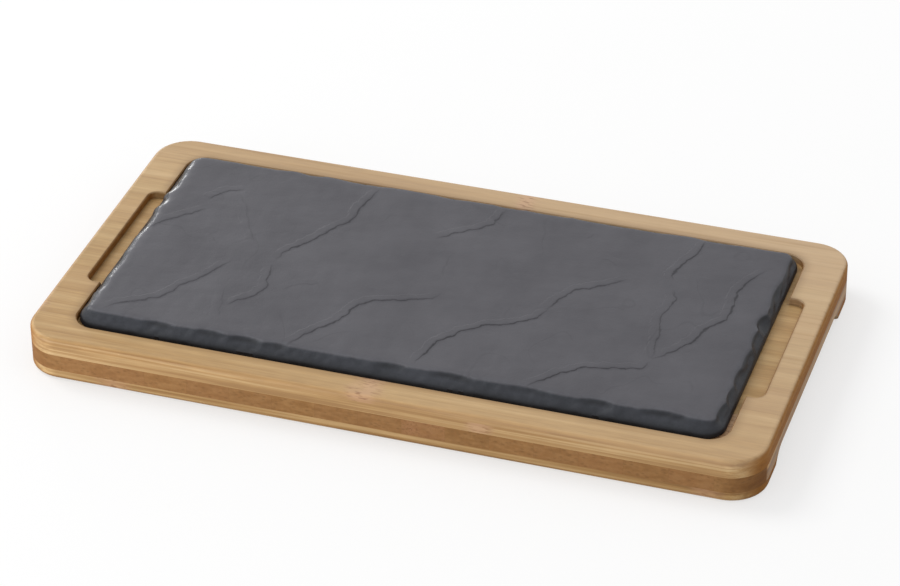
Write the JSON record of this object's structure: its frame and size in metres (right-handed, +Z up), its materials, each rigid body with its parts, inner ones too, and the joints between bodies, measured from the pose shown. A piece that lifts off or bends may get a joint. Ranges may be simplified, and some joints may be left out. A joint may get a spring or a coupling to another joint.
{
  "type": "bamboo serving tray",
  "caption": "Laminated bamboo serving tray with a routed pocket for a lift-out slate-effect plate, finger notches beside the plate and coved grips under both ends.",
  "frame": {"origin": "middle of the underside, in the plane that the tray stands on", "axes": "+X along the long side, +Y towards the back, +Z up"},
  "size_m": [0.34, 0.18, 0.0254],
  "materials": {
    "bamboo_face": "oiled, satin",
    "bamboo_core": "oiled end grain, satin",
    "slate": "matt, cleft slate texture"
  },
  "bodies": {
    "board": {"top_rail_front": "bamboo_face", "top_rail_back": "bamboo_face", "top_left_1": "bamboo_face", "top_left_2": "bamboo_face", "top_left_3": "bamboo_face", "top_left_4": "bamboo_face", "top_left_5": "bamboo_face", "top_left_6": "bamboo_face", "top_left_7": "bamboo_face", "top_right_1": "bamboo_face", "top_right_2": "bamboo_face", "top_right_3": "bamboo_face", "top_right_4": "bamboo_face", "top_right_5": "bamboo_face", "top_right_6": "bamboo_face", "top_right_7": "bamboo_face", "second_1": "bamboo_face", "second_2": "bamboo_face", "second_3": "bamboo_face", "second_4": "bamboo_face", "second_5": "bamboo_face", "second_6": "bamboo_face", "second_7": "bamboo_face", "second_8": "bamboo_face", "second_9": "bamboo_face", "core_1": "bamboo_core", "core_2": "bamboo_core", "core_3": "bamboo_core", "core_4": "bamboo_core", "core_5": "bamboo_core", "core_6": "bamboo_core", "core_7": "bamboo_core", "core_8": "bamboo_core", "core_9": "bamboo_core", "core_10": "bamboo_core", "core_11": "bamboo_core", "core_12": "bamboo_core", "core_13": "bamboo_core", "core_14": "bamboo_core", "core_15": "bamboo_core", "core_16": "bamboo_core", "core_17": "bamboo_core", "bottom_1": "bamboo_face", "bottom_2": "bamboo_face", "bottom_3": "bamboo_face", "bottom_4": "bamboo_face", "bottom_5": "bamboo_face", "bottom_6": "bamboo_face", "bottom_7": "bamboo_face", "bottom_8": "bamboo_face", "bottom_9": "bamboo_face"},
    "plate": {"slate_plate": "slate"}
  },
  "joints": [
    {"name": "plate_lift", "type": "slide", "parent": "board", "child": "plate", "axis": [0, 0, 1], "range_m": [0, 0.06]}
  ]
}
